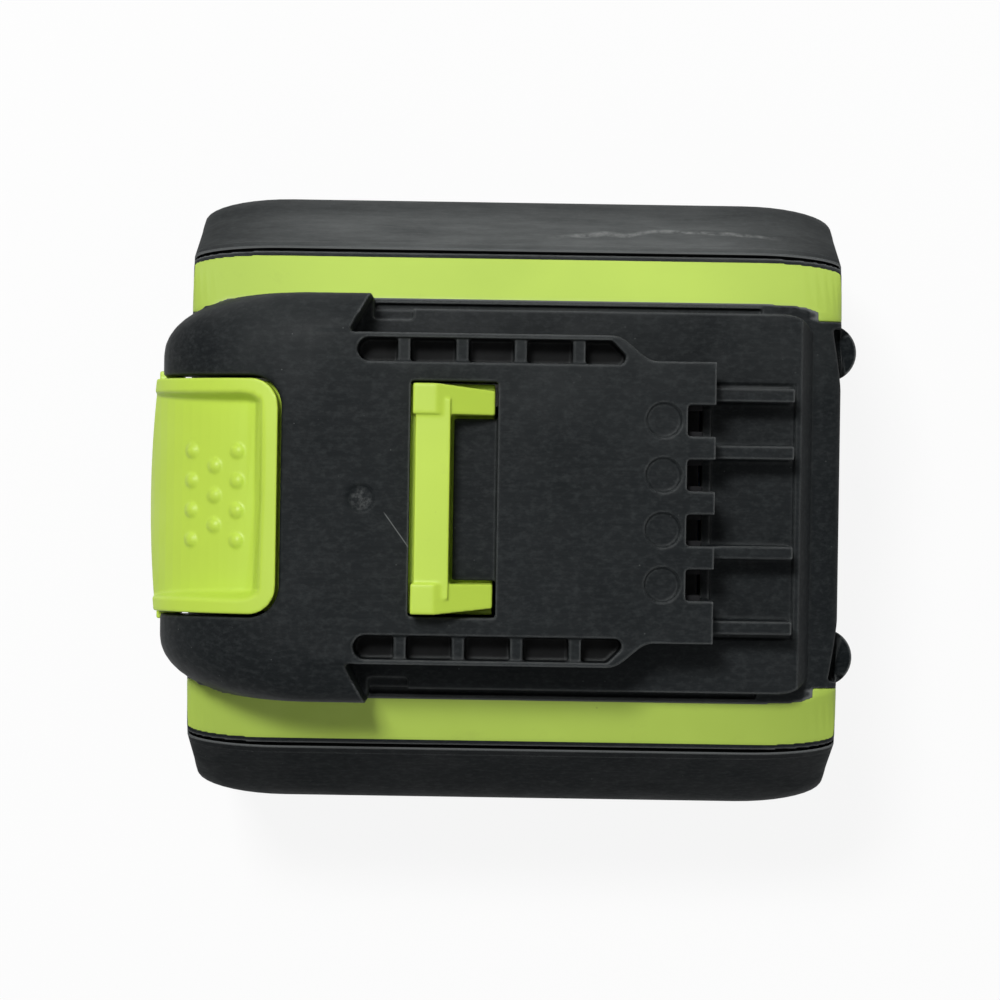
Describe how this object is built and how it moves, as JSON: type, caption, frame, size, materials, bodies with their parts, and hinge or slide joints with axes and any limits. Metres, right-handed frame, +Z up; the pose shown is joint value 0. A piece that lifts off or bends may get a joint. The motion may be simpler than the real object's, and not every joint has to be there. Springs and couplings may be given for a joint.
{
  "type": "power tool battery pack",
  "caption": "Slide-on cordless tool battery pack: black two-part case with lime shoulder bands, grooved rail, terminal slots and a sprung release latch.",
  "frame": {"origin": "middle of the base, at the height of the surface that the pack stands on", "axes": "+X out of the terminal end, +Y to the left side, +Z up out of the rail"},
  "size_m": [0.0932, 0.0824, 0.0729],
  "materials": {
    "black_plastic": "fine moulded grain",
    "lime_plastic": "satin moulded",
    "latch_plastic": "satin moulded",
    "spring_steel": "drawn wire",
    "cell_can": null,
    "holder_plastic": "moulded",
    "nickel_strip": "nickel plated",
    "insulating_sheet": "pressed paper",
    "foam": "closed cell",
    "circuit_board": "solder mask",
    "component_black": "moulded package",
    "contact_brass": "stamped",
    "sensor_bead": "dipped",
    "screw_steel": "blackened"
  },
  "bodies": {
    "pack": {"lower_housing": "black_plastic", "upper_housing": "black_plastic", "band_left": "lime_plastic", "band_right": "lime_plastic", "latch_spring_left": "spring_steel", "latch_spring_right": "spring_steel", "cell_1": "cell_can", "cell_2": "cell_can", "cell_3": "cell_can", "cell_4": "cell_can", "cell_5": "cell_can", "cell_6": "cell_can", "cell_7": "cell_can", "cell_8": "cell_can", "cell_9": "cell_can", "cell_10": "cell_can", "cell_holder_front": "holder_plastic", "cell_holder_rear": "holder_plastic", "bus_strip_front_1": "nickel_strip", "bus_strip_rear_1": "nickel_strip", "bus_strip_front_2": "nickel_strip", "bus_strip_rear_2": "nickel_strip", "bus_strip_front_3": "nickel_strip", "bus_strip_rear_3": "nickel_strip", "end_sheet_front": "insulating_sheet", "end_sheet_rear": "insulating_sheet", "positive_lead": "nickel_strip", "negative_lead": "nickel_strip", "foam_pad": "foam", "protection_board": "circuit_board", "board_components": "component_black", "terminal_block": "holder_plastic", "terminal_1": "contact_brass", "terminal_2": "contact_brass", "terminal_3": "contact_brass", "terminal_4": "contact_brass", "temperature_sensor": "sensor_bead", "case_screws": "screw_steel"},
    "latch": {"release_latch": "latch_plastic"}
  },
  "joints": [
    {"name": "latch_press", "type": "slide", "parent": "pack", "child": "latch", "axis": [0, 0, -1], "range_m": [0, 0.0042], "stiffness_N_per_m": 2500, "springref_m": -0.0025, "deforming": ["latch_spring_left", "latch_spring_right"]}
  ]
}
